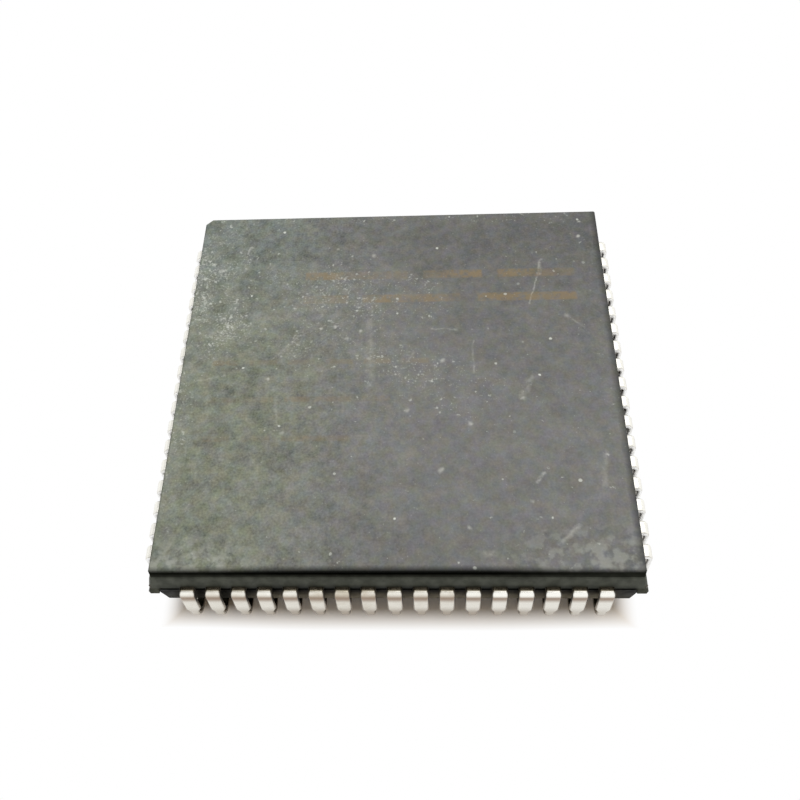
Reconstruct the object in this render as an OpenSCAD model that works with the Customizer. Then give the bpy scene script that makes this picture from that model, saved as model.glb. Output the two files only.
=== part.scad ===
// Square plastic leaded chip carrier: a moulded body with a row of J-shaped leads along each side.
// The origin is the middle of the seating plane, under the rolled feet of the leads.
// The front row runs along -Y and the bevelled index corner is at -X, +Y.

/* [Package] */
// Leads along each side
leads_per_side = 17; // [9:1:21]
// Distance between the centres of neighbouring leads
lead_pitch = 1.27; // [1.1:0.01:1.5]
// From the centre of the last lead in a row to the end of the flange
end_margin = 1.955; // [1.75:0.005:2.6]
// From the seating plane to the top of the body
package_h = 4.37; // [4.19:0.01:4.6]
// From the seating plane to the underside of the body
stand_off = 0.75; // [0.51:0.01:1]
// Height of the middle of the lead sheet, where the two halves of the mould meet
parting_z = 3; // [2.7:0.01:3.1]

/* [Moulded body] */
// From the flange in to the edge of the top face
slab_inset = 0.245; // [0.2:0.005:0.5]
// Lean of the steep wall round the top face
slab_draft = 0.02; // [0.005:0.005:0.04]
// Height of the steep wall round the top face
slab_wall_h = 0.59; // [0.3:0.01:0.8]
// Width and drop of the sloped ledge under that wall
ledge_w = 0.06; // [0.02:0.01:0.12]
// Depth of the flange below the parting plane
lip_h = 0.2; // [0.15:0.01:0.3]
// From the flange in to the wall behind the leads
lower_inset = 0.13; // [0.1:0.005:0.4]
// Lean of the wall behind the leads
lower_draft = 0.3; // [0.05:0.01:0.4]
// Width and height of the bevel round the underside
bottom_chamfer = 0.1; // [0.03:0.01:0.2]
// Length of the corner ears along each side
ear_len = 0.48; // [0.3:0.01:0.7]
// Depth of the corner ears below the parting plane
ear_h = 0.42; // [0.3:0.01:1]
// How far the lowest edge of the corner ears stands out from the flange
ear_flare = 0.1; // [0.05:0.005:0.25]
// Leg of the bevel at the index corner
index_chamfer = 0.86; // [0.85:0.01:1.22]
// Leg of the bevels at the other three corners
corner_chamfer = 0.12; // [0.12:0.01:0.5]
// Room round the end of a lead tip in its pocket in the underside
pocket_clear = 0.1; // [0.05:0.01:0.2]
// Room beside a lead tip in its pocket
pocket_side = 0.05; // [0.03:0.01:0.12]

/* [Leads] */
// Thickness of the lead sheet
lead_t = 0.25; // [0.2:0.01:0.28]
// Width of a lead at its shoulder
lead_wide = 0.77; // [0.66:0.01:0.81]
// Width of a lead at its foot
lead_narrow = 0.46; // [0.33:0.01:0.53]
// How far the leads stand out from the flange
lead_reach = 0.46; // [0.42:0.01:0.6]
// Outer radius of the shoulder bend
shoulder_r = 0.33; // [0.32:0.01:0.41]
// Outer radius of the rolled foot
foot_r = 1; // [0.8:0.01:1.1]
// How far the foot rolls on past its lowest point, in degrees
foot_curl = 65; // [50:1:80]
// Height at which a lead starts to narrow
neck_z = 1.45; // [1.4:0.01:2.3]
// Height over which a lead narrows
neck_h = 0.3; // [0.2:0.01:0.4]

/* [Lead frame inside the body] */
// Straight length of a lead inside the body
lock_len = 0.7; // [0.4:0.01:1]
// Width of a finger where it starts to slant
finger_w = 0.5; // [0.35:0.01:0.65]
// Straight length of a finger tip
tip_len = 0.7; // [0.4:0.01:1]
// Space between neighbouring finger tips
tip_space = 0.2; // [0.15:0.01:0.24]
// From the edge of the paddle out to the finger tips
tip_gap = 0.6; // [0.4:0.01:0.9]
// From the corner of the paddle to the centre of the last finger tip
tip_corner = 0.4; // [0.3:0.01:0.7]
// Width of the paddle that carries the die
paddle_w = 8.2; // [7:0.1:9]
// Width of the bars that tie the paddle to the corners
tie_bar_w = 0.15; // [0.1:0.01:0.16]

/* [Die and bond wires] */
// Width of the die
die_w = 5.6; // [4:0.1:6.4]
// Thickness of the die
die_t = 0.38; // [0.3:0.01:0.5]
// Thickness of the adhesive under the die
attach_t = 0.03; // [0.02:0.005:0.06]
// How far the adhesive spreads beyond the die
attach_spread = 0.15; // [0.05:0.01:0.25]
// From the edge of the die in to its row of pads
pad_edge = 0.15; // [0.1:0.01:0.3]
// From the corner of the die to the centre of the last pad in a row
pad_corner = 0.45; // [0.35:0.01:0.7]
// Thickness of a bond wire
wire_t = 0.03; // [0.025:0.001:0.04]
// How high a bond wire rises above its pad
wire_loop = 0.2; // [0.12:0.01:0.4]
// Length of the stitch that joins a bond wire to its finger
stitch_len = 0.12; // [0.08:0.01:0.2]
// From the end of a finger to the end of its stitch
stitch_in = 0.25; // [0.22:0.01:0.36]

/* [Hidden] */
$fn = 96;
SIDES = ["front", "right", "back", "left"];

// How far a cut reaches past the face it opens, and how deep joined shapes overlap
cut_over = 1;
join_over = 0.2;

// Flange, lead row and walls of the body
row_half = (leads_per_side - 1) * lead_pitch / 2;
flange_half = row_half + end_margin;
slab_half = flange_half - slab_inset;
ledge_top_z = package_h - slab_wall_h;
lower_half = flange_half - lower_inset;
lower_bottom_half = lower_half - lower_draft;
ear_root_z = parting_z - lip_h / 2;
ear_low_z = parting_z - ear_h;
ear_lean = ear_flare / (ear_root_z - ear_low_z);
index_reach = (2 * flange_half - index_chamfer) / sqrt(2);
corner_reach = (2 * flange_half - corner_chamfer) / sqrt(2);

// Leads
lead_top_z = parting_z + lead_t / 2;
lead_bottom_z = parting_z - lead_t / 2;
lead_outer = flange_half + lead_reach;
foot_centre = lead_outer - foot_r;
tip_top_z = foot_r - (foot_r - lead_t) * cos(foot_curl);
tip_inner = foot_centre - foot_r * sin(foot_curl);
pocket_roof_z = max(tip_top_z, stand_off) + pocket_clear;

// Lead frame, die and wires
paddle_half = paddle_w / 2;
knee_r = flange_half - lock_len;
finger_end = paddle_half + tip_gap;
tip_row_half = paddle_half - tip_corner;
tip_pitch = 2 * tip_row_half / (leads_per_side - 1);
tip_w = tip_pitch - tip_space;
attach_top_z = lead_top_z + attach_t;
die_top_z = attach_top_z + die_t;
pad_row_half = die_w / 2 - pad_corner;
pad_pitch = 2 * pad_row_half / (leads_per_side - 1);

// Place of lead k in its row, counted from the middle
function step_of(k) = k - (leads_per_side - 1) / 2;

// Turns a shape drawn for the right-hand side onto the named side
module on_side(side) {
    turn = side == "front" ? -90 : side == "back" ? 90 : side == "left" ? 180 : 0;
    rotate([0, 0, turn]) children();
}

// Stands a shape drawn in (radius, height) upright and gives it a width along the row
module upright(width) {
    rotate([90, 0, 0]) linear_extrude(width, center = true) children();
}

// Section of the body without its ears, the same across both widths
module body_section() {
    right = [
        [lower_bottom_half - bottom_chamfer, stand_off],
        [lower_bottom_half, stand_off + bottom_chamfer],
        [lower_half, parting_z - lip_h],
        [flange_half, parting_z - lip_h],
        [flange_half, parting_z],
        [slab_half + slab_draft + ledge_w, ledge_top_z - ledge_w],
        [slab_half + slab_draft, ledge_top_z],
        [slab_half, package_h]
    ];
    left = [for (i = [len(right) - 1 : -1 : 0]) [-right[i][0], right[i][1]]];
    polygon(concat(right, left));
}

// Outline of the flange seen from above, with its bevelled corners
module flange_outline() {
    f = flange_half;
    i = f - index_chamfer;
    c = f - corner_chamfer;
    polygon([[-i, f], [c, f], [f, c], [f, -c], [c, -f], [-c, -f], [-f, -c], [-f, i]]);
}

// Section of an ear whose slanted face comes out of the flange, or out of its bevel, at a radius
module ear_section(radius, lean) {
    polygon([
        [0, ear_low_z], [radius + lean * (ear_root_z - ear_low_z), ear_low_z],
        [radius - lean * (parting_z - ear_root_z), parting_z], [0, parting_z]
    ]);
}

// Ear that closes the ends of the lead rows at the back right corner
module corner_ear() {
    long = 2 * (flange_half + ear_flare) + cut_over;
    near = flange_half - ear_len;
    width = ear_len + ear_flare + cut_over;
    intersection() {
        upright(long) ear_section(flange_half, ear_lean);
        rotate([0, 0, 90]) upright(long) ear_section(flange_half, ear_lean);
        rotate([0, 0, 45]) upright(long) ear_section(corner_reach, sqrt(2) * ear_lean);
        translate([near, near, 0]) cube([width, width, package_h]);
    }
}

// Outside of the moulded body, before its pockets and what it encloses
module body_block() {
    long = 2 * flange_half + cut_over;
    intersection() {
        linear_extrude(package_h + cut_over) flange_outline();
        upright(long) body_section();
        rotate([0, 0, 90]) upright(long) body_section();
    }
    // The index corner has no ear
    for (turn = [0, 180, 270]) rotate([0, 0, turn]) corner_ear();
}

// Pockets in the underside, one over each lead tip of a row
module tip_pockets() {
    inner = tip_inner - pocket_clear;
    outer = lower_half + cut_over;
    width = lead_narrow + 2 * pocket_side;
    for (k = [0 : leads_per_side - 1])
        translate([inner, step_of(k) * lead_pitch - width / 2, -cut_over])
            cube([outer - inner, width, pocket_roof_z + cut_over]);
}

// Part of lead k that the body holds: a straight lock, a slanted finger and its tip
module lead_finger(k, outer) {
    y = step_of(k) * lead_pitch;
    t = step_of(k) * tip_pitch;
    wide = lead_wide / 2;
    knee = finger_w / 2;
    tip = tip_w / 2;
    bend = finger_end + tip_len;
    translate([0, 0, lead_bottom_z]) linear_extrude(lead_t) polygon([
        [outer, y - wide], [outer, y + wide], [knee_r, y + wide], [knee_r, y + knee],
        [bend, t + tip], [finger_end, t + tip], [finger_end, t - tip], [bend, t - tip],
        [knee_r, y - knee], [knee_r, y - wide]
    ]);
}

// Side view of the shoulder, leg and rolled foot of a lead
module lead_bend() {
    shoulder_x = lead_outer - shoulder_r;
    shoulder_z = lead_top_z - shoulder_r;
    far = 2 * foot_r;
    translate([shoulder_x, shoulder_z]) intersection() {
        difference() {
            circle(shoulder_r);
            circle(shoulder_r - lead_t);
        }
        square(shoulder_r);
    }
    translate([flange_half - join_over, lead_bottom_z])
        square([shoulder_x - flange_half + join_over, lead_t]);
    translate([lead_outer - lead_t, foot_r])
        square([lead_t, shoulder_z - foot_r]);
    translate([foot_centre, foot_r]) intersection() {
        difference() {
            circle(foot_r);
            circle(foot_r - lead_t);
        }
        polygon([
            [0, 0], [far, 0], [far, -far], [-far, -far],
            [-far, -far / tan(foot_curl)]
        ]);
    }
}

// Front view of a lead: wide at the shoulder, narrow at the foot
module lead_front() {
    wide = lead_wide / 2;
    narrow = lead_narrow / 2;
    low = neck_z - neck_h;
    polygon([
        [-narrow, -cut_over], [narrow, -cut_over], [narrow, low], [wide, neck_z],
        [wide, package_h], [-wide, package_h], [-wide, neck_z], [-narrow, low]
    ]);
}

// Lead k of a row along the right-hand side
module lead(k) {
    translate([0, step_of(k) * lead_pitch, 0]) intersection() {
        upright(lead_pitch) lead_bend();
        rotate([0, 0, 90]) rotate([90, 0, 0]) linear_extrude(lead_outer + cut_over) lead_front();
    }
    lead_finger(k, flange_half);
}

// One row of leads
module lead_row(side) {
    color("#d8d4c8") on_side(side)
        for (k = [0 : leads_per_side - 1]) lead(k);
}

// Plate that carries the die, with a tie bar to each corner that ends flush in the corner bevel
module die_paddle(past_corner = 0) {
    color("#c9a27a") translate([0, 0, lead_bottom_z]) linear_extrude(lead_t) {
        square(paddle_w, center = true);
        for (turn = [45 : 90 : 315]) {
            reach = turn == 135 ? index_reach : corner_reach;
            rotate(turn) translate([0, -tie_bar_w / 2]) square([reach + past_corner, tie_bar_w]);
        }
    }
}

// Adhesive between the paddle and the die
module die_attach() {
    width = die_w + 2 * attach_spread;
    color("#b9bcc0") translate([-width / 2, -width / 2, lead_top_z])
        cube([width, width, attach_t]);
}

// The die itself
module silicon_die() {
    color("#5b6470") translate([-die_w / 2, -die_w / 2, attach_top_z])
        cube([die_w, die_w, die_t]);
}

// Wire from pad k on the die to finger k, for the right-hand side
module bond_wire(k) {
    pad = [die_w / 2 - pad_edge, step_of(k) * pad_pitch];
    stitch = [finger_end + stitch_in, step_of(k) * tip_pitch];
    way = stitch - pad;
    long = norm(way);
    drop = lead_top_z - die_top_z;
    half = wire_t / 2;
    translate([pad[0], pad[1], die_top_z]) rotate([0, 0, atan2(way[1], way[0])])
        upright(wire_t) polygon([
            [-half, 0], [half, 0], [half, wire_loop - wire_t], [long - stitch_len, drop],
            [long, drop], [long, drop + wire_t], [long - stitch_len, drop + wire_t],
            [half, wire_loop], [-half, wire_loop]
        ]);
}

// One row of bond wires
module wire_row(side) {
    color("#e0b84c") on_side(side)
        for (k = [0 : leads_per_side - 1]) bond_wire(k);
}

// Everything that the moulding flows round
module enclosed() {
    for (side = SIDES) {
        on_side(side)
            for (k = [0 : leads_per_side - 1]) lead_finger(k, flange_half + cut_over);
        wire_row(side);
    }
    die_paddle(cut_over);
    die_attach();
    silicon_die();
}

// Moulded body, filled solid round the lead frame, die and wires
module moulded_body() {
    color("#3a3b37") difference() {
        body_block();
        for (side = SIDES) on_side(side) tip_pockets();
        enclosed();
    }
}

moulded_body();
lead_row("front");  // front_leads
lead_row("right");  // right_leads
lead_row("back");  // back_leads
lead_row("left");  // left_leads
die_paddle();
die_attach();
silicon_die();
wire_row("front");  // front_bond_wires
wire_row("right");  // right_bond_wires
wire_row("back");  // back_bond_wires
wire_row("left");  // left_bond_wires
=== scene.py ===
# Looks of a square plastic leaded chip carrier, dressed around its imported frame
import math
import random

import bmesh
import bpy
from mathutils import Matrix, Vector


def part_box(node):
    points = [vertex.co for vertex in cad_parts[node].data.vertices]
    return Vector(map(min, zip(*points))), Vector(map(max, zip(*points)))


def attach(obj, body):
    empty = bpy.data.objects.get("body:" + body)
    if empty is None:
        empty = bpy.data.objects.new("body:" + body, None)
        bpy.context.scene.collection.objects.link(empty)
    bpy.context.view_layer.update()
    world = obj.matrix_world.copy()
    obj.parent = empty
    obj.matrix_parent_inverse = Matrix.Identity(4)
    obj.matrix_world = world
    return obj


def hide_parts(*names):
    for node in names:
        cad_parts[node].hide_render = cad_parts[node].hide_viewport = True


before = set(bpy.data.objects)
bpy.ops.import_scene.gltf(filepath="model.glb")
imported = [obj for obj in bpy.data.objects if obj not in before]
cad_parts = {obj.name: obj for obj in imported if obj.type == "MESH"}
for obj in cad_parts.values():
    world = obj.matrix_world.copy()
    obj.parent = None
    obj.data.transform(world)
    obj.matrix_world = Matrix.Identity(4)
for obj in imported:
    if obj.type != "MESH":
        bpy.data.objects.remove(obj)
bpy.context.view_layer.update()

# Lengths below are in millimetres, and MM turns them into the scene's metres
MM = 0.001
SIDES = ("front", "right", "back", "left")
SIDE_TURN = {"right": 0, "back": 90, "left": 180, "front": 270}

# Sizes read from the frame
body_low, body_high = (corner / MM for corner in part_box("moulded_body"))
row_low, row_high = (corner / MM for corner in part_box("right_leads"))
paddle_low, paddle_high = (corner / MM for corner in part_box("die_paddle"))
ear_flare = 0.1
flange_half = body_high.x - ear_flare
package_h = body_high.z
stand_off = body_low.z
lead_outer = row_high.x
finger_end = row_low.x
lead_top_z = row_high.z
lead_t = paddle_high.z - paddle_low.z
parting_z = lead_top_z - lead_t / 2

# Sizes of the moulded body
leads_per_side = 17
slab_half = flange_half - 0.245
slab_draft = 0.02
slab_wall_h = 0.59
ledge_w = 0.06
lip_h = 0.2
lower_half = flange_half - 0.13
lower_bottom_half = lower_half - 0.3
bottom_chamfer = 0.1
ear_len = 0.48
ear_h = 0.42
index_chamfer = 0.86
corner_chamfer = 0.12
corner_round = 0.06
least_leg = 0.03
least_drop = 0.0005
edge_round = 0.05
top_round = 0.08
ARC_STEPS = 4
# Tie bar ends stand this far out of the corner bevels
bar_proud = 0.012
# Heights between which the sides of the body change tone
band_span = (parting_z, parting_z + 0.35)
wall_span = (package_h - 0.62, package_h - 0.2)
low_span = (stand_off + 0.05, 2.35)

# Sizes of the leads
lead_wide = 0.77
lead_narrow = 0.46
shoulder_r = 0.33
foot_r = 1.0
foot_curl = 65
neck_z = 1.45
neck_h = 0.3
lead_edge_round = 0.11
# Share of the half width beyond which a face counts as the cut edge of a lead
cut_edge_share = 0.93
row_half = row_high.y - lead_wide / 2
lead_pitch = 2 * row_half / (leads_per_side - 1)
pocket_clear = 0.1
pocket_side = 0.05

# Sizes of the lead fingers inside the body
paddle_half = 4.1
knee_r = flange_half - 0.7
finger_w = 0.5
tip_len = 0.7
tip_space = 0.2
tip_pitch = 2 * (paddle_half - 0.4) / (leads_per_side - 1)
tip_w = tip_pitch - tip_space


# Mesh helpers

def fillet(points, radii, closed):
    """Rounds each corner of a flat line by its own radius; an open line keeps its ends."""
    points = [Vector(p) for p in points]
    count = len(points)
    rounded = []
    for i, (here, radius) in enumerate(zip(points, radii)):
        if not closed and i in (0, count - 1):
            rounded.append(here)
            continue
        back = (points[i - 1] - here).normalized()
        ahead = (points[(i + 1) % count] - here).normalized()
        half_angle = back.angle(ahead) / 2
        start = here + back * (radius / math.tan(half_angle))
        end = here + ahead * (radius / math.tan(half_angle))
        centre = here + (back + ahead).normalized() * (radius / math.sin(half_angle))
        for step in range(ARC_STEPS + 1):
            along = start.lerp(end, step / ARC_STEPS)
            rounded.append(centre + (along - centre).normalized() * radius)
    return rounded


def make_object(name, mesh_builder, materials):
    """Turns a bmesh in millimetres into an object of the scene."""
    bmesh.ops.recalc_face_normals(mesh_builder, faces=mesh_builder.faces)
    bmesh.ops.scale(mesh_builder, vec=(MM, MM, MM), verts=mesh_builder.verts)
    mesh = bpy.data.meshes.new(name)
    mesh_builder.to_mesh(mesh)
    mesh_builder.free()
    for material in materials:
        mesh.materials.append(material)
    piece = bpy.data.objects.new(name, mesh)
    bpy.context.scene.collection.objects.link(piece)
    return piece


# Moulded body

def corner_leg(half, corner):
    """Leg of the bevel at a corner of a square ring; corner 1 is the index corner."""
    chamfer = index_chamfer if corner == 1 else corner_chamfer
    reach = 2 * flange_half - chamfer - bar_proud * math.sqrt(2)
    return max(2 * half - reach, corner_round)


def ring_corners(half, inset=0.0):
    """Rounded outline of the body at one height, as one list of points for each corner.

    An inset says how far the outline has drawn in from the wall under it, bevels included.
    """
    outline = []
    for corner in range(4):
        leg = corner_leg(half + inset, corner) - (2 - math.sqrt(2)) * inset
        leg = max(leg, least_leg)
        turn = Matrix.Rotation(math.radians(90 * corner), 2)
        outline += [turn @ Vector((half, half - leg)), turn @ Vector((half - leg, half))]
    points = fillet(outline, [edge_round / 2] * len(outline), closed=True)
    share = len(points) // 4
    return [points[corner * share:(corner + 1) * share] for corner in range(4)]


def body_levels():
    """Half width and height of the body from the wall over the underside bevel to the top."""
    ledge_top_z = package_h - slab_wall_h
    section = [
        (lower_bottom_half, stand_off + bottom_chamfer),
        (lower_half, parting_z - lip_h),
        (flange_half, parting_z - lip_h),
        (flange_half, parting_z),
        (slab_half + slab_draft + ledge_w, ledge_top_z - ledge_w),
        (slab_half + slab_draft, ledge_top_z),
        (slab_half, package_h),
        (0, package_h),
    ]
    radii = [edge_round] * len(section)
    radii[-2] = top_round
    return fillet(section, radii, closed=False)[:-1]


def build_underside(bm, wall_ring):
    """Adds the underside, its bevel and the pockets over the lead tips, below the wall's lowest ring."""
    bottom_half = lower_bottom_half - bottom_chamfer
    bottom_ring = [
        [bm.verts.new((p.x, p.y, stand_off)) for p in corner] for corner in ring_corners(bottom_half)
    ]
    pocket_z = stand_off + bottom_chamfer
    pocket_inner = lead_outer - foot_r - foot_r * math.sin(math.radians(foot_curl)) - pocket_clear
    pocket_half = lead_narrow / 2 + pocket_side
    wall_edges = []
    floor_outline = []
    for side in range(4):
        turn = Matrix.Rotation(math.radians(90 * (side + 1)), 3, "Z")

        def vert(radius, along, height):
            return bm.verts.new(turn @ Vector((radius, along, height)))

        upper, lower = wall_ring[side], bottom_ring[side]
        for i in range(len(upper) - 1):
            bm.faces.new((upper[i], upper[i + 1], lower[i + 1], lower[i]))
        wall_edge = [upper[-1]]
        bevel_edge = [lower[-1]]
        floor_outline += lower
        for k in range(leads_per_side):
            middle = (k - (leads_per_side - 1) / 2) * lead_pitch
            ends = (middle - pocket_half, middle + pocket_half)
            wall = [vert(lower_bottom_half, t, pocket_z) for t in ends]
            bevel = [vert(bottom_half, t, stand_off) for t in ends]
            roof = [vert(pocket_inner, t, pocket_z) for t in ends]
            back = [vert(pocket_inner, t, stand_off) for t in ends]
            bm.faces.new((wall_edge[-1], wall[0], bevel[0], bevel_edge[-1]))
            bm.faces.new((wall[0], wall[1], roof[1], roof[0]))
            bm.faces.new((wall[0], roof[0], back[0], bevel[0]))
            bm.faces.new((wall[1], bevel[1], back[1], roof[1]))
            bm.faces.new((roof[0], roof[1], back[1], back[0]))
            wall_edge += wall
            bevel_edge += bevel
            floor_outline += [bevel[0], back[0], back[1], bevel[1]]
        wall_edge.append(wall_ring[(side + 1) % 4][0])
        bm.faces.new((wall_edge[-2], wall_edge[-1], bottom_ring[(side + 1) % 4][0], bevel_edge[-1]))
        wall_edges.append(wall_edge)
    bm.faces.new(floor_outline)
    return wall_edges


def build_ear(bm, corner):
    """Adds the ear at one corner, which leans out towards its lower edge."""
    near = flange_half - ear_len
    low_z = parting_z - ear_h
    root_z = parting_z - lip_h / 2
    lean = ear_flare / (root_z - low_z)
    soft = edge_round / 2
    turn = Matrix.Rotation(math.radians(90 * corner), 2)
    rings = []
    for z, inset in ((low_z, soft), (low_z + soft, 0.0), (parting_z, 0.0)):
        inner = near + inset
        far = flange_half + lean * (root_z - z) - inset
        leg = far - corner_chamfer
        outline = [(inner, inner), (far, inner), (far, leg), (leg, far), (inner, far)]
        points = [turn @ p for p in fillet(outline, [soft] * len(outline), closed=True)]
        rings.append([bm.verts.new((p.x, p.y, z)) for p in points])
    for lower, upper in zip(rings, rings[1:]):
        for i in range(len(lower)):
            j = (i + 1) % len(lower)
            bm.faces.new((lower[i], lower[j], upper[j], upper[i]))
    bm.faces.new(rings[0])
    bm.faces.new(rings[-1])


def build_body(top_material, band_material, wall_material, low_material):
    """Moulded body with rounded edges: lofted square rings, a flat top, the underside and the ears."""
    bm = bmesh.new()
    rings = []
    for half, z in body_levels():
        inset = max(slab_half - half, 0.0) if z > parting_z else 0.0
        ring = ring_corners(half, inset)
        rings.append([[bm.verts.new((p.x, p.y, z)) for p in corner] for corner in ring])
    wall_edges = build_underside(bm, rings[0])
    for level in range(len(rings) - 1):
        lower, upper = rings[level], rings[level + 1]
        for side in range(4):
            for i in range(len(lower[side]) - 1):
                bm.faces.new((lower[side][i], lower[side][i + 1], upper[side][i + 1], upper[side][i]))
            low_edge = wall_edges[side] if level == 0 else [lower[side][-1], lower[(side + 1) % 4][0]]
            bm.faces.new(low_edge + [upper[(side + 1) % 4][0], upper[side][-1]])
    bm.faces.new([vert for corner in rings[-1] for vert in corner])
    for corner in (0, 2, 3):
        build_ear(bm, corner)
    bm.normal_update()
    round_z = package_h - top_round
    lip_z = parting_z - lip_h
    ear_z = parting_z - ear_h - least_drop
    for face in bm.faces:
        centre = face.calc_center_median()
        in_corner_ear = centre.z > ear_z and min(abs(centre.x), abs(centre.y)) > flange_half - ear_len
        if centre.z > round_z:
            face.material_index = 0
            face.smooth = centre.z < package_h - least_drop
        elif centre.z > package_h - slab_wall_h:
            face.material_index = 2
        elif centre.z > parting_z:
            face.material_index = 1
        elif centre.z > lip_z or in_corner_ear:
            face.material_index = 2
        else:
            face.material_index = 1 if abs(face.normal.z) > 0.9 else 3
    materials = (top_material, band_material, wall_material, low_material)
    return make_object("moulded_body_finish", bm, materials)


# Leads

def lead_stations(k):
    """Centre line of lead k: distance out, height, outward lean, half width and place along the row."""
    place = (k - (leads_per_side - 1) / 2) * lead_pitch
    tip_place = (k - (leads_per_side - 1) / 2) * tip_pitch
    wide, narrow = lead_wide / 2, lead_narrow / 2
    stations = [
        (finger_end, parting_z, 90, tip_w / 2, tip_place),
        (finger_end + tip_len, parting_z, 90, tip_w / 2, tip_place),
        (knee_r, parting_z, 90, finger_w / 2, place),
        (knee_r, parting_z, 90, wide, place),
        (flange_half, parting_z, 90, wide, place),
    ]
    shoulder_x = lead_outer - shoulder_r
    shoulder_z = lead_top_z - shoulder_r
    bend = shoulder_r - lead_t / 2
    for lean in range(90, -1, -9):
        angle = math.radians(lean)
        point = (shoulder_x + bend * math.cos(angle), shoulder_z + bend * math.sin(angle))
        stations.append((*point, lean, wide, place))
    leg_x = lead_outer - lead_t / 2
    stations.append((leg_x, neck_z, 0, wide, place))
    stations.append((leg_x, neck_z - neck_h, 0, narrow, place))
    roll = foot_r - lead_t / 2
    for lean in range(0, -(90 + foot_curl) - 1, -5):
        angle = math.radians(lean)
        point = (lead_outer - foot_r + roll * math.cos(angle), foot_r + roll * math.sin(angle))
        stations.append((*point, lean, narrow, place))
    return stations


def row_tarnish(side, k):
    """How tarnished lead k is; the front row clears up towards its right end."""
    if side != "front":
        return 0.2
    if k < 5:
        return 0.45
    return 0.85 if k < 10 else max(0.85 - 0.3 * (k - 9), 0.05)


def build_leads(side, face_material, edge_material):
    """One row of J-shaped leads, each swept along its centre line with softened stamped edges."""
    bm = bmesh.new()
    tone = bm.faces.layers.float.new("lead_tone")
    side_share = bm.verts.layers.float.new("lead_across")
    draw = random.Random(SIDES.index(side) + 1)
    turn = Matrix.Rotation(math.radians(SIDE_TURN[side]), 3, "Z")
    half_t = lead_t / 2
    for k in range(leads_per_side):
        lead_tone = row_tarnish(side, k) * draw.uniform(0.7, 1.3)
        rings = []
        for out, z, lean, half_w, along in lead_stations(k):
            corners = [(half_w, -half_t), (half_w, half_t), (-half_w, half_t), (-half_w, -half_t)]
            angle = math.radians(lean)
            ring = []
            for across, lift in fillet(corners, [lead_edge_round] * 4, closed=True):
                place = (out + lift * math.cos(angle), along + across, z + lift * math.sin(angle))
                vert = bm.verts.new(turn @ Vector(place))
                vert[side_share] = abs(across) / half_w
                ring.append(vert)
            rings.append(ring)
        faces = [bm.faces.new(rings[0]), bm.faces.new(rings[-1])]
        for lower, upper in zip(rings, rings[1:]):
            for i in range(len(lower)):
                j = (i + 1) % len(lower)
                faces.append(bm.faces.new((lower[i], lower[j], upper[j], upper[i])))
        for face in faces:
            face[tone] = lead_tone
            face.smooth = len(face.verts) == 4
            mean_share = sum(vert[side_share] for vert in face.verts) / len(face.verts)
            face.material_index = 1 if face.smooth and mean_share > cut_edge_share else 0
    return make_object(side + "_leads_finish", bm, (face_material, edge_material))


# Shader helpers

def put(socket, value):
    """Links an output to a socket, or sets a plain value on it."""
    if isinstance(value, bpy.types.NodeSocket):
        socket.id_data.links.new(value, socket)
    else:
        socket.default_value = value


def calc(tree, operation, *values):
    node = tree.nodes.new("ShaderNodeMath")
    node.operation = operation
    for socket, value in zip(node.inputs, values):
        put(socket, value)
    return node.outputs[0]


def total(tree, operation, values):
    """Chains one two-sided operation over a list of sockets."""
    result = values[0]
    for value in values[1:]:
        result = calc(tree, operation, result, value)
    return result


def ease(tree, value, start, end, low=0.0, high=1.0):
    """Smooth step of a value from low at start to high at end."""
    node = tree.nodes.new("ShaderNodeMapRange")
    node.interpolation_type = "SMOOTHSTEP"
    for socket, given in zip(node.inputs, (value, start, end, low, high)):
        put(socket, given)
    return node.outputs[0]


def ease_line(tree, value, start, end, low, high):
    """Straight climb of a value from low at start to high at end."""
    node = tree.nodes.new("ShaderNodeMapRange")
    for socket, given in zip(node.inputs, (value, start, end, low, high)):
        put(socket, given)
    return node.outputs[0]


def blend(tree, factor, first, second, mode="MIX"):
    node = tree.nodes.new("ShaderNodeMix")
    node.data_type = "RGBA"
    node.blend_type = mode
    put(node.inputs[0], factor)
    put(node.inputs[6], first)
    put(node.inputs[7], second)
    return node.outputs[2]


def noise(tree, place, per_mm, detail=2.0, offset=0.0):
    """Soft noise with about so many features to the millimetre, moved along by an offset."""
    node = tree.nodes.new("ShaderNodeTexNoise")
    node.noise_dimensions = "4D"
    put(node.inputs["Vector"], place)
    node.inputs["W"].default_value = offset
    node.inputs["Scale"].default_value = per_mm
    node.inputs["Detail"].default_value = detail
    return node.outputs[0]


def wander(tree, place, per_mm, reach, offset):
    """Place moved about by soft noise, so that what is drawn there gets ragged edges."""
    swing = tree.nodes.new("ShaderNodeVectorMath")
    swing.operation = "MULTIPLY_ADD"
    put(swing.inputs[0], noise(tree, place, per_mm, 2.0, offset).node.outputs["Color"])
    swing.inputs[1].default_value = (reach, reach, 0.0)
    swing.inputs[2].default_value = (-reach / 2, -reach / 2, 0.0)
    moved = tree.nodes.new("ShaderNodeVectorMath")
    put(moved.inputs[0], place)
    put(moved.inputs[1], swing.outputs[0])
    return moved.outputs[0]


def cells(tree, place, per_mm):
    """Scattered points on the top: the distance to the nearest one and three random values of its own."""
    node = tree.nodes.new("ShaderNodeTexVoronoi")
    node.voronoi_dimensions = "2D"
    put(node.inputs["Vector"], place)
    node.inputs["Scale"].default_value = per_mm
    split = tree.nodes.new("ShaderNodeSeparateColor")
    put(split.inputs[0], node.outputs["Color"])
    return node.outputs["Distance"], split.outputs


def bump(tree, height, depth, strength):
    """Surface relief, with its depth in millimetres."""
    node = tree.nodes.new("ShaderNodeBump")
    node.inputs["Strength"].default_value = strength
    node.inputs["Distance"].default_value = depth * MM
    put(node.inputs["Height"], height)
    return node.outputs["Normal"]


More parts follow.
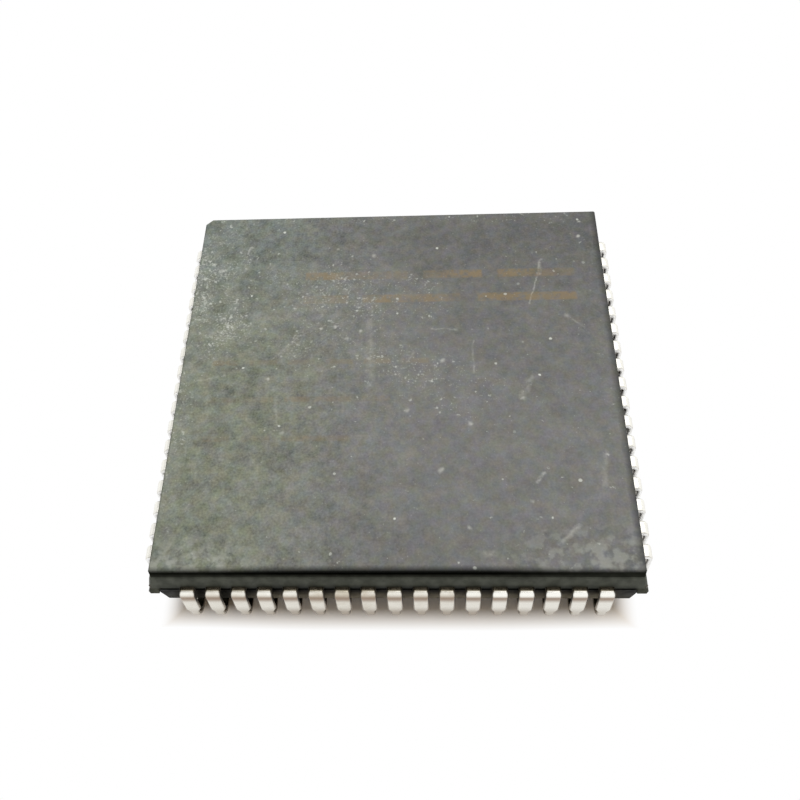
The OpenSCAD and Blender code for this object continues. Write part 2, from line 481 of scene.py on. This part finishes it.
def place_mm(tree):
    """Place on the object in millimetres, and its three coordinates."""
    source = tree.nodes.new("ShaderNodeTexCoord")
    scale = tree.nodes.new("ShaderNodeVectorMath")
    scale.operation = "SCALE"
    put(scale.inputs[0], source.outputs["Object"])
    scale.inputs["Scale"].default_value = 1 / MM
    split = tree.nodes.new("ShaderNodeSeparateXYZ")
    put(split.inputs[0], scale.outputs[0])
    return scale.outputs[0], split.outputs


def new_material(name, **values):
    """Material with a principled shader and these fixed socket values."""
    material = bpy.data.materials.new(name)
    material.use_nodes = True
    shader = material.node_tree.nodes["Principled BSDF"]
    for socket, value in values.items():
        shader.inputs[socket.replace("_", " ")].default_value = value
    return material, material.node_tree, shader


def tone(red, green, blue):
    """Linear colour from the eight-bit values that a picture shows."""
    def linear(value):
        share = value / 255
        return share / 12.92 if share <= 0.04045 else ((share + 0.055) / 1.055) ** 2.4
    return (linear(red), linear(green), linear(blue), 1.0)


# Near black painted as shade on the top's rolled edges, on the steep wall under them and on the lip under
# the flange
SHADE_BLACK = tone(7, 8, 5)
# Painted shade under the lip of the flange, on the top of the lower wall
LIP_SHADE = tone(14, 14, 11)
BAND_GREY = tone(88, 91, 82)


# Moulding compound

# Scuffs on the top face: start, end, half width and strength
SCUFFS = {
    "long scratch": ((8.4, 7.9), (7.4, 4.6), 0.1, 0.42),
    "head of the long scratch": ((8.4, 7.95), (8.2, 6.9), 0.16, 0.4),
    "slanting scratch": ((-6.9, 0.9), (-5.5, 2.5), 0.09, 0.26),
    "end of the slanting scratch": ((-5.5, 2.5), (-4.0, 3.3), 0.09, 0.22),
    "edge scrape": ((-11.3, -0.6), (-9.4, -0.2), 0.12, 0.26),
    "upright rub": ((-1.5, 3.4), (-1.4, -1.0), 0.34, 0.2),
    "second upright rub": ((4.25, 2.0), (4.2, -0.2), 0.11, 0.26),
    "faint upright": ((-6.6, -1.0), (-6.3, -3.4), 0.12, 0.18),
    "flat smear": ((2.0, 3.0), (3.4, 2.85), 0.12, 0.34),
    "head of the smear": ((3.0, 2.9), (3.4, 2.85), 0.16, 0.3),
    "ink side streak": ((9.4, 3.8), (10.4, 2.9), 0.12, 0.24),
    "inner streak": ((0.95, 1.3), (0.6, 0.6), 0.12, 0.26),
    "front streak": ((7.1, -6.95), (7.55, -6.4), 0.15, 0.5),
    "hooked rub": ((7.3, -0.5), (6.7, -1.7), 0.3, 0.26),
    "corner streak": ((8.0, -10.4), (9.0, -9.4), 0.17, 0.34),
    "corner patch": ((4.3, -11.0), (4.8, -10.9), 0.25, 0.3),
    "back streak": ((-9.0, 8.9), (-8.8, 9.4), 0.12, 0.5),
    "back patch": ((-6.9, 8.9), (-6.7, 9.0), 0.3, 0.25),
    "left arc": ((-11.0, -4.6), (-10.8, -5.4), 0.12, 0.25),
    "right edge rub": ((10.7, -5.3), (10.4, -7.2), 0.25, 0.2),
}

# Single flecks on the top face: place, radius and strength
FLECKS = {
    "left fleck": ((-7.0, -0.45), 0.2, 0.85),
    "pale fleck": ((2.5, 0.7), 0.26, 0.64),
    "middle fleck": ((3.9, -3.5), 0.22, 0.59),
    "front fleck": ((2.3, -6.25), 0.22, 0.55),
    "right fleck": ((6.8, -1.85), 0.17, 0.59),
    "back right fleck": ((10.75, 9.85), 0.16, 0.85),
    "corner fleck": ((10.9, 11.0), 0.16, 0.68),
    "back fleck": ((-1.4, 8.5), 0.16, 0.51),
    "second back fleck": ((-3.6, 9.2), 0.13, 0.51),
    "inner fleck": ((-3.45, 3.2), 0.17, 0.77),
    "inner pair": ((-4.15, 3.1), 0.18, 0.77),
    "inner third": ((-2.1, 2.8), 0.18, 0.72),
    "inner fourth": ((-2.8, 2.2), 0.21, 0.42),
    "rub fleck": ((-1.5, 0.8), 0.22, 0.38),
    "low fleck": ((0.6, -2.6), 0.22, 0.47),
    "ink fleck": ((9.5, 3.7), 0.21, 0.34),
    "far right fleck": ((10.7, -5.5), 0.21, 0.42),
    "front edge fleck": ((3.6, -9.5), 0.17, 0.51),
    "front right fleck": ((6.8, -8.1), 0.18, 0.34),
    "left low fleck": ((-6.0, -4.0), 0.21, 0.34),
}

# Worn print, kept to plain bars: rows as height, half height, and the start and length of each bar
PRINT_ROWS = (
    (7.0, 0.3, ((-5.4, 6.0), (1.5, 3.4), (5.8, 4.4))),
    (5.2, 0.3, ((-5.4, 2.6), (-2.0, 5.6), (4.6, 5.6))),
    (0.7, 0.17, ((-10.2, 1.5), (-8.1, 1.5), (-6.0, 1.5), (-3.9, 1.5), (-1.8, 1.5), (0.3, 1.5))),
    (-1.8, 0.17, ((-10.2, 3.6), (-6.0, 3.6), (-1.8, 1.5))),
    (-4.3, 0.17, ((-10.2, 1.5), (-8.1, 1.5), (-6.0, 3.6))),
)

# Dust layers: specks to the millimetre, how rare they are where dust is thin, strength and noise offset
DUST_LAYERS = ((8.0, 0.64, 0.5, 31.0), (4.2, 0.67, 0.75, 32.0))

# Where dust lies thick on the top face: start, end, half width and strength
DUST_PATCHES = {
    "back left corner": ((-11.6, 8.5), (-10.8, 4.0), 5.2, 1.0),
    "left edge": ((-11.8, 4.0), (-11.6, -9.0), 1.6, 0.6),
    "behind the print": ((-7.0, 6.4), (0.5, 5.0), 3.6, 0.72),
    "middle": ((-5.0, 2.2), (3.5, -1.0), 3.6, 0.5),
    "back edge": ((-9.0, 11.7), (10.0, 11.7), 0.8, 0.45),
}

# Mottling of the top face: features to the millimetre, detail, strength and noise offset
TOP_MOTTLING = ((0.8, 2.0, 0.5, 5.0), (2.6, 2.0, 0.5, 12.0), (8.0, 3.0, 0.6, 7.0))
# How much stronger the mottling is at the left and at the right
MOTTLING_LEFT = 2.1
MOTTLING_RIGHT = 0.95

# Darkened edges of the top face: coordinate (0 for x, 1 for y, 2 for y with lighter ends) and sense of
# the edge, start and end of the change inside it, light left at the very edge
TOP_EDGES = (
    (2, -1, 0.02, 0.37, 0.0),
    (0, 1, 0.0, 0.4, 0.35),
    (0, -1, 0.0, 0.1, 0.5),
    (1, 1, 0.0, 0.1, 0.5),
)


def segment_mask(tree, place, start, end, half_width):
    """Soft line from start to end on the top face, 1 along its middle."""
    node = tree.nodes.new("ShaderNodeVectorMath")
    node.operation = "SUBTRACT"
    put(node.inputs[0], place)
    node.inputs[1].default_value = (*start, package_h)
    way = Vector((end[0] - start[0], end[1] - start[1], 0.0))
    along = tree.nodes.new("ShaderNodeVectorMath")
    along.operation = "DOT_PRODUCT"
    put(along.inputs[0], node.outputs[0])
    along.inputs[1].default_value = way / max(way.length_squared, 1e-9)
    share = calc(tree, "MINIMUM", calc(tree, "MAXIMUM", along.outputs["Value"], 0.0), 1.0)
    foot = tree.nodes.new("ShaderNodeVectorMath")
    foot.operation = "SCALE"
    foot.inputs[0].default_value = way
    put(foot.inputs["Scale"], share)
    gap = tree.nodes.new("ShaderNodeVectorMath")
    gap.operation = "DISTANCE"
    put(gap.inputs[0], node.outputs[0])
    put(gap.inputs[1], foot.outputs[0])
    return ease(tree, gap.outputs["Value"], 0.0, half_width, 1.0, 0.0)


def scuff_mask(tree, place):
    """All the listed scuffs and flecks, with ragged edges and worn gaps."""
    ragged = wander(tree, wander(tree, place, 1.2, 0.5, 14.0), 5.0, 0.14, 15.0)
    lines = []
    for start, end, half_width, strength in SCUFFS.values():
        lines.append(calc(tree, "MULTIPLY", segment_mask(tree, ragged, start, end, half_width), strength))
    broken = ease(tree, noise(tree, place, 3.5, 3.0, 4.0), 0.36, 0.62, 0.2, 1.0)
    spots = []
    for spot, radius, strength in FLECKS.values():
        mark = segment_mask(tree, ragged, spot, spot, radius)
        spots.append(calc(tree, "MULTIPLY", mark, strength))
    worn_lines = calc(tree, "MULTIPLY", total(tree, "MAXIMUM", lines), broken)
    return calc(tree, "MAXIMUM", worn_lines, total(tree, "MAXIMUM", spots))


def print_mask(tree, place, x, y):
    """Worn plain bars of print."""
    rows = []
    for height, half_height, bars in PRINT_ROWS:
        up = calc(tree, "ABSOLUTE", calc(tree, "SUBTRACT", y, height))
        in_row = ease(tree, up, half_height - 0.08, half_height + 0.08, 1.0, 0.0)
        spans = []
        for start, length in bars:
            across = calc(tree, "ABSOLUTE", calc(tree, "SUBTRACT", x, start + length / 2))
            spans.append(ease(tree, across, length / 2 - 0.08, length / 2 + 0.08, 1.0, 0.0))
        rows.append(calc(tree, "MULTIPLY", in_row, total(tree, "MAXIMUM", spans)))
    fresh = total(tree, "MAXIMUM", rows)
    faded = ease(tree, noise(tree, place, 0.5, 2.0, 9.0), 0.35, 0.65, 0.45, 1.0)
    worn = ease(tree, noise(tree, place, 4.0, 4.0, 2.0), 0.3, 0.6, 0.2, 1.0)
    lower = ease(tree, y, 1.0, 5.0, 0.55, 1.0)
    return total(tree, "MULTIPLY", [fresh, faded, worn, lower])


def dust_mask(tree, place):
    """White dust, thick at the back left corner and along the left edge; also how thick it lies."""
    ragged = wander(tree, place, 0.6, 2.0, 16.0)
    spread = []
    for start, end, half_width, strength in DUST_PATCHES.values():
        spread.append(calc(tree, "MULTIPLY", segment_mask(tree, ragged, start, end, half_width), strength))
    patch = ease(tree, noise(tree, place, 0.6, 3.0, 6.0), 0.36, 0.62, 0.35, 1.0)
    thick = calc(tree, "MULTIPLY", total(tree, "MAXIMUM", spread), patch)
    layers = []
    for per_mm, rarity, strength, offset in DUST_LAYERS:
        start = calc(tree, "SUBTRACT", rarity, calc(tree, "MULTIPLY", thick, 0.17))
        above = calc(tree, "SUBTRACT", noise(tree, place, per_mm, 2.0, offset), start)
        layers.append(ease(tree, above, 0.0, 0.18, 0.0, strength))
    distance, chance = cells(tree, wander(tree, place, 9.0, 0.1, 21.0), 1.3)
    rare = ease(tree, chance[0], 0.03, 0.035, 1.0, 0.0)
    size = calc(tree, "ADD", calc(tree, "MULTIPLY", chance[1], 0.07), 0.05)
    dot = ease(tree, calc(tree, "SUBTRACT", size, distance), -0.04, 0.04)
    layers.append(total(tree, "MULTIPLY", [rare, dot, calc(tree, "ADD", chance[2], 0.2)]))
    return total(tree, "MAXIMUM", layers), thick


def corner_lumps(tree, place, x, y):
    """Pale rubbed patches at the two front corners."""
    left = [ease(tree, x, -9.0, -5.5, 0.85, 0.0), ease(tree, y, -11.3, -9.6, 1.0, 0.0)]
    right = [ease(tree, x, 3.0, 9.5, 0.0, 0.7), ease(tree, y, -11.2, -8.4, 1.0, 0.0)]
    corners = [total(tree, "MULTIPLY", corner) for corner in (left, right)]
    lumps = ease(tree, noise(tree, place, 1.9, 3.0, 11.0), 0.46, 0.61)
    return calc(tree, "MULTIPLY", total(tree, "MAXIMUM", corners), lumps)


def top_level(tree, place, x, y):
    """Brightness of the top face: broad light and dark areas, mottling and grain around 1."""
    broad = [
        ease(tree, x, -11.0, 6.0, 0.1, -0.06),
        ease(tree, y, 11.5, 2.0, -0.12, 0.03),
        ease(tree, y, -11.0, -7.5, -0.08, 0.0),
        calc(tree, "MULTIPLY", ease(tree, x, -4.0, 4.0), ease(tree, y, 5.0, -6.0, -0.05, 0.07)),
    ]
    mottling = []
    for per_mm, detail, strength, offset in TOP_MOTTLING:
        swing = calc(tree, "SUBTRACT", noise(tree, place, per_mm, detail, offset), 0.5)
        amount = ease(tree, x, -9.0, 3.0, strength * MOTTLING_LEFT, strength * MOTTLING_RIGHT)
        mottling.append(calc(tree, "MULTIPLY", swing, amount))
    return calc(tree, "ADD", total(tree, "ADD", broad + mottling), 1.0)


def grey(tree, level):
    """Grey colour of one brightness."""
    node = tree.nodes.new("ShaderNodeCombineColor")
    for socket in node.inputs:
        put(socket, level)
    return node.outputs[0]


def edge_light(tree, x, y):
    """Light left on the top face near its edges, which turn away from the light at the front and right."""
    right_end = ease(tree, x, 3.0, 11.8, 0.0, 0.14)
    left_end = ease(tree, x, -3.0, -11.8, 0.0, 0.08)
    front = total(tree, "ADD", [y, right_end, left_end])
    edges = []
    for place, sense, start, end, least in TOP_EDGES:
        room = calc(tree, "ADD", calc(tree, "MULTIPLY", (x, y, front)[place], -sense), slab_half)
        edges.append(ease_line(tree, room, start, end, least, 1.0))
    return total(tree, "MULTIPLY", edges)


def dusty_top():
    """Top face: scuffed grey moulding with dust and worn print, dark where it rolls over its edges."""
    material, tree, shader = new_material("moulding_top", Roughness=0.8, Specular_IOR_Level=0.1)
    place, (x, y, _) = place_mm(tree)
    green = blend(tree, ease(tree, y, -4.0, 10.0), tone(117, 123, 106), tone(114, 123, 112))
    violet = tone(111, 112, 112)
    drift = noise(tree, place, 0.16, 3.0, 1.0)
    across = calc(tree, "ADD", x, calc(tree, "MULTIPLY", drift, 8.0))
    leftness = ease(tree, across, -6.0, 9.0, 1.0, 0.0)
    colour = blend(tree, leftness, violet, green)
    chroma = ease(tree, noise(tree, place, 1.6, 3.0, 3.0), 0.3, 0.7)
    colour = blend(tree, 0.65, colour, blend(tree, chroma, tone(109, 117, 106), tone(122, 115, 112)))
    warmth = ease(tree, noise(tree, place, 2.4, 3.0, 23.0), 0.3, 0.7)
    colour = blend(tree, 0.42, colour, blend(tree, warmth, tone(118, 117, 100), tone(111, 113, 121)))
    left_tint = blend(tree, ease(tree, y, 3.0, 10.0), (1.0, 1.03, 0.95, 1.0), (0.97, 1.03, 1.03, 1.0))
    tint = blend(tree, ease(tree, across, -6.0, 3.0, 1.0, 0.0), (1.012, 1.0, 1.025, 1.0), left_tint)
    colour = blend(tree, 1.0, colour, tint, "MULTIPLY")
    colour = blend(tree, 1.0, colour, grey(tree, top_level(tree, place, x, y)), "MULTIPLY")
    ink = print_mask(tree, place, x, y)
    colour = blend(tree, calc(tree, "MULTIPLY", ink, 0.7), colour, tone(136, 118, 87))
    dust, thick = dust_mask(tree, place)
    colour = blend(tree, calc(tree, "MULTIPLY", thick, 0.16), colour, tone(165, 169, 157))
    lumps = corner_lumps(tree, place, x, y)
    colour = blend(tree, calc(tree, "MULTIPLY", lumps, 0.58), colour, tone(168, 170, 160))
    scuffs = scuff_mask(tree, place)
    colour = blend(tree, calc(tree, "MULTIPLY", scuffs, 0.75), colour, tone(205, 205, 196))
    colour = blend(tree, calc(tree, "MULTIPLY", dust, 0.75), colour, tone(215, 218, 208))
    colour = blend(tree, edge_light(tree, x, y), SHADE_BLACK, colour)
    put(shader.inputs["Base Color"], colour)
    put(shader.inputs["Normal"], bump(tree, noise(tree, place, 9.0, 4.0, 8.0), 0.02, 0.5))
    return material


def in_ear(tree, x, y):
    """1 on the corner ears and on the flange over them."""
    within = calc(tree, "MINIMUM", calc(tree, "ABSOLUTE", x), calc(tree, "ABSOLUTE", y))
    return ease(tree, within, flange_half - ear_len - 0.15, flange_half - ear_len + 0.1)


def grey_ears(tree, x, y, z, colour):
    """Band of the flange, lighter towards its ends and grey down to its lower edge over the ears."""
    ends = ease(tree, calc(tree, "ABSOLUTE", x), 4.0, 11.5, 0.0, 0.4)
    colour = blend(tree, ends, colour, BAND_GREY)
    return blend(tree, in_ear(tree, x, y), colour, BAND_GREY)


def wall_and_lip_shade(tree, x, y, z, colour):
    """Lip under the flange, painted black as shade between the grey ears; the wall above it, painted dark
    as shade, is less dark at its ends.
    """
    lip = blend(tree, in_ear(tree, x, y), SHADE_BLACK, tone(90, 92, 83))
    ends = calc(tree, "ADD", ease(tree, x, 4.0, 11.6, 0.0, 0.8), ease(tree, x, -4.0, -11.6, 0.0, 0.3))
    colour = blend(tree, ends, colour, tone(44, 46, 40))
    return blend(tree, calc(tree, "LESS_THAN", z, parting_z + 0.01), colour, lip)


def front_floor_light_and_lip_shade(tree, x, y, z, colour):
    """Lower wall, paler towards its foot behind the middle and right leads of the front row: painted light
    of the white floor there, under the painted shade of the lip.
    """
    behind_leads = [ease(tree, y, -10.8, -11.5), ease(tree, x, -8.2, -6.4), ease(tree, x, 11.1, 10.5)]
    foot_light_to_lip_shade = blend(tree, ease(tree, z, *low_span), tone(156, 149, 132), LIP_SHADE)
    return blend(tree, total(tree, "MULTIPLY", behind_leads), colour, foot_light_to_lip_shade)


def clean_side(name, low, high, span, specular, marks=None):
    """Side of the moulding, smoother than the top, going from one tone to another over some height."""
    material, tree, shader = new_material(name, Specular_IOR_Level=specular)
    place, (x, y, z) = place_mm(tree)
    colour = blend(tree, ease(tree, z, *span), low, high)
    if marks:
        colour = marks(tree, x, y, z, colour)
    patch = ease(tree, noise(tree, place, 2.0, 4.0, 2.0), 0.3, 0.7, 0.75, 1.25)
    put(shader.inputs["Base Color"], blend(tree, 1.0, colour, grey(tree, patch), "MULTIPLY"))
    put(shader.inputs["Roughness"], ease(tree, noise(tree, place, 3.0, 3.0, 4.0), 0.3, 0.7, 0.38, 0.55))
    put(shader.inputs["Normal"], bump(tree, noise(tree, place, 9.0, 4.0, 8.0), 0.01, 0.4))
    return material


# Metals and inner pieces

def attribute(tree, name):
    """Value that a mesh keeps under a name."""
    node = tree.nodes.new("ShaderNodeAttribute")
    node.attribute_name = name
    return node.outputs["Fac"]


def tin_plate(name, wear_and_shade, rough, metallic):
    """Tin plating with tan tarnish that differs from lead to lead; brown at the bends, partly where it is
    worn and partly as a painted reflection of the dim surroundings; with painted shade where it leaves the
    body, down its sides and at its foot, and a painted greyer reflection down the leg.
    """
    material, tree, shader = new_material(name, Metallic=metallic)
    place, (x, y, z) = place_mm(tree)
    lead, across = attribute(tree, "lead_tone"), attribute(tree, "lead_across")

    def stain_and_shade(colour, masks, strength, tinted):
        mask = total(tree, "MULTIPLY", masks)
        return blend(tree, calc(tree, "MULTIPLY", mask, strength * wear_and_shade), colour, tinted)

    patch = ease(tree, noise(tree, place, 2.2, 4.0, 3.0), 0.35, 0.7, 0.5, 1.0)
    colour = blend(tree, calc(tree, "MULTIPLY", patch, lead), tone(252, 251, 244), tone(210, 202, 184))
    # Painted reflection: the leg and foot below the bend are greyer, for the shaded floor they mirror
    colour = stain_and_shade(colour, [ease(tree, z, 2.8, 2.4)], 0.55, tone(204, 199, 188))
    # Brown band over the bend: partly worn plating, partly a painted reflection of the dim surroundings in
    # front
    bend_top = ease_line(tree, lead, 0.05, 0.85, 3.02, 3.14)
    bend = [ease(tree, z, bend_top, 2.84), ease(tree, z, 2.27, 2.76)]
    colour = stain_and_shade(colour, bend, 0.95, tone(146, 126, 108))
    # Painted shade of the contact shadow on the lower leg and foot, weaker towards the ends of the row
    middle = ease(tree, calc(tree, "ABSOLUTE", x), 4.0, 11.0, 1.0, 0.45)
    colour = stain_and_shade(colour, [ease(tree, z, 1.95, 1.1), middle], 0.95, tone(160, 149, 134))
    # Painted shade down the rounded sides of the lead, above its foot
    side_shade = ease(tree, across, 0.72, 1.0)
    colour = stain_and_shade(colour, [side_shade, ease(tree, z, 1.2, 1.9)], 0.5, tone(112, 101, 86))
    # Painted shade where the lead leaves the body under the flange's lip
    out = calc(tree, "MAXIMUM", calc(tree, "ABSOLUTE", x), calc(tree, "ABSOLUTE", y))
    out = calc(tree, "SUBTRACT", out, calc(tree, "MULTIPLY", calc(tree, "POWER", across, 4.0), 0.2))
    root = ease(tree, out, flange_half + 0.1, flange_half + 0.24, 1.0, 0.0)
    colour = stain_and_shade(colour, [root, ease(tree, z, 2.6, 2.8)], 1.0, tone(80, 74, 62))
    put(shader.inputs["Base Color"], colour)
    haze = ease(tree, noise(tree, place, 5.0, 3.0, 6.0), 0.3, 0.7, rough, rough + 0.12)
    put(shader.inputs["Roughness"], haze)
    put(shader.inputs["Normal"], bump(tree, noise(tree, place, 6.0, 3.0, 1.0), 0.012, 0.5))
    return material


def cut_edge(name, upper, lower, metallic=0.0):
    """Cut edge of the leads, going from one tone at the shoulder to another down the leg."""
    material, tree, shader = new_material(name, Roughness=0.5, Metallic=metallic)
    place, (_, _, z) = place_mm(tree)
    colour = blend(tree, ease(tree, z, 1.7, 2.5), lower, upper)
    patch = ease(tree, noise(tree, place, 3.0, 3.0, 2.0), 0.3, 0.7, 0.85, 1.1)
    put(shader.inputs["Base Color"], blend(tree, 1.0, colour, grey(tree, patch), "MULTIPLY"))
    put(shader.inputs["Normal"], bump(tree, noise(tree, place, 8.0, 3.0, 5.0), 0.01, 0.4))
    return material


def patched(name, first, second, per_mm, relief, **values):
    """Plain material of two near colours in soft patches, with slight relief."""
    material, tree, shader = new_material(name, **values)
    place, _ = place_mm(tree)
    patch = ease(tree, noise(tree, place, per_mm, 4.0, 2.0), 0.3, 0.7)
    put(shader.inputs["Base Color"], blend(tree, patch, first, second))
    put(shader.inputs["Normal"], bump(tree, noise(tree, place, 6 * per_mm, 3.0, 5.0), relief, 0.4))
    return material


# Pieces of the part

body_finish = build_body(
    dusty_top(),
    clean_side("moulding_band", tone(30, 32, 26), tone(82, 85, 76), band_span, 0.1, grey_ears),
    # The steep wall under the top's edge and the lip carry painted shade: black high on the wall, lighter
    # towards its foot
    clean_side("moulding_wall", tone(64, 66, 59), SHADE_BLACK, wall_span, 0.0, wall_and_lip_shade),
    # The lower wall is painted dark under the lip as shade, lighter towards its foot
    clean_side("moulding_low", tone(62, 61, 55), LIP_SHADE, low_span, 0.02, front_floor_light_and_lip_shade),
)
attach(body_finish, "root")
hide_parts("moulded_body")

# Tarnish, wear, painted shade and painted reflections at full strength on the front row and at 0.4 on the
# other rows
worn_and_shaded_tin = tin_plate("worn_and_shaded_tin", 1.0, 0.14, 1.0)
# Cut edges of the front row, painted dark at the shoulder as the shade in the gaps between the leads
shaded_front_edge = cut_edge("shaded_front_edge", tone(58, 53, 45), tone(206, 197, 182))
clean_tin = tin_plate("clean_tin", 0.4, 0.26, 0.85)
clean_edge = cut_edge("clean_edge", tone(253, 252, 249), tone(252, 251, 247), 0.9)
for side in SIDES:
    finishes = (worn_and_shaded_tin, shaded_front_edge) if side == "front" else (clean_tin, clean_edge)
    leads = build_leads(side, *finishes)
    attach(leads, "root")
    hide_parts(side + "_leads")

inner_finishes = {
    "die_paddle": patched(
        "lead_frame", tone(64, 57, 48), tone(54, 48, 41), 1.5, 0.01, Metallic=1.0, Roughness=0.4
    ),
    "die_attach": patched(
        "die_adhesive", tone(160, 162, 165), tone(186, 188, 190), 2.0, 0.01, Roughness=0.6
    ),
    "silicon_die": patched("silicon", tone(70, 78, 90), tone(88, 94, 108), 0.8, 0.002, Roughness=0.15),
}
gold = patched(
    "gold_wire", tone(226, 186, 84), tone(206, 164, 66), 4.0, 0.003, Metallic=1.0, Roughness=0.3
)
for side in SIDES:
    inner_finishes[side + "_bond_wires"] = gold
for node, finish in inner_finishes.items():
    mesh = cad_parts[node].data
    mesh.materials.clear()
    mesh.materials.append(finish)


# Floor, light and camera

def seen_rays(tree):
    """1 where the viewer looks, also in a mirror or through glass."""
    path = tree.nodes.new("ShaderNodeLightPath")
    rays = ("Is Camera Ray", "Is Glossy Ray", "Is Transmission Ray")
    return total(tree, "MAXIMUM", [path.outputs[ray] for ray in rays])


def build_floor():
    """Wide floor that is seen as white, apart from a warm shadow close to the feet of the part."""
    bm = bmesh.new()
    bmesh.ops.create_grid(bm, x_segments=1, y_segments=1, size=900)
    material, tree, shader = new_material("floor", Roughness=0.9, Specular_IOR_Level=0.0)
    seen = seen_rays(tree)
    put(shader.inputs["Base Color"], blend(tree, seen, (0.8, 0.79, 0.78, 1.0), (1.0, 0.84, 0.64, 1.0)))
    _, (x, y, _) = place_mm(tree)
    ends = ease(tree, calc(tree, "ABSOLUTE", x), 4.0, 11.5, 0.0, 0.14)
    ahead = calc(tree, "SUBTRACT", ends, calc(tree, "ADD", y, lead_outer))
    aside = calc(tree, "SUBTRACT", calc(tree, "MAXIMUM", calc(tree, "ABSOLUTE", x), y), lead_outer)
    opening = calc(tree, "POWER", ease_line(tree, ahead, -0.9, 0.5, 0.0, 1.0), 1.6)
    least = ease(tree, x, -8.6, -6.6, 0.004, 0.047)
    clear = total(tree, "MAXIMUM", [opening, ease(tree, aside, -1.9, -0.4), least])
    white = tree.nodes.new("ShaderNodeEmission")
    surface = tree.nodes.new("ShaderNodeMixShader")
    put(surface.inputs[0], calc(tree, "MULTIPLY", seen, clear))
    put(surface.inputs[1], shader.outputs[0])
    put(surface.inputs[2], white.outputs[0])
    put(tree.nodes["Material Output"].inputs["Surface"], surface.outputs[0])
    floor = make_object("floor", bm, (material,))


def build_world():
    """White surroundings, whose light on the part is dimmer and warmer from the viewer's side."""
    world = bpy.data.worlds.new("surroundings")
    world.use_nodes = True
    bpy.context.scene.world = world
    tree = world.node_tree
    background = tree.nodes["Background"]
    source = tree.nodes.new("ShaderNodeTexCoord")
    split = tree.nodes.new("ShaderNodeSeparateXYZ")
    put(split.inputs[0], source.outputs["Generated"])
    behind = ease(tree, split.outputs[1], -0.8, 0.5)
    light = blend(tree, behind, (0.3, 0.28, 0.26, 1.0), (0.75, 0.76, 0.78, 1.0))
    put(background.inputs["Color"], blend(tree, seen_rays(tree), light, (1.0, 1.0, 1.0, 1.0)))


def build_lamp(name, place, aim, size, power):
    data = bpy.data.lights.new(name, "AREA")
    data.size = size * MM
    data.energy = power
    lamp = bpy.data.objects.new(name, data)
    lamp.location = Vector(place) * MM
    lamp.rotation_euler = (Vector(aim) - Vector(place)).to_track_quat("-Z", "Y").to_euler()
    bpy.context.scene.collection.objects.link(lamp)


def build_camera():
    """Camera at the photograph's viewing angle, with its slight roll and off-centre framing."""
    azimuth, elevation, roll = (math.radians(angle) for angle in (6.30, 55.404, -5.827))
    focal_px, image_px = 971.43, 800
    centre_px = (370.44, 410.0)
    distance = 51.895
    target = Vector((-1.365, -2.298, 4.0))
    level = math.cos(elevation)
    back = Vector((math.sin(azimuth) * level, -math.cos(azimuth) * level, math.sin(elevation)))
    right = (-back).cross(Vector((0, 0, 1))).normalized()
    up = right.cross(-back)
    tilted_right = right * math.cos(roll) + up * math.sin(roll)
    tilted_up = up * math.cos(roll) - right * math.sin(roll)
    data = bpy.data.cameras.new("camera")
    data.lens = focal_px / image_px * data.sensor_width
    data.shift_x = 0.5 - centre_px[0] / image_px
    data.shift_y = centre_px[1] / image_px - 0.5
    data.clip_start = 0.001
    camera = bpy.data.objects.new("camera", data)
    axes = Matrix((tilted_right, tilted_up, back)).transposed().to_4x4()
    camera.matrix_world = Matrix.Translation((target + back * distance) * MM) @ axes
    bpy.context.scene.collection.objects.link(camera)
    bpy.context.scene.camera = camera


build_floor()
build_world()
build_lamp("softbox", (40, 130, 320), (0, 0, 0), 420, 1.0)
build_camera()
bpy.context.scene.view_settings.view_transform = "Standard"
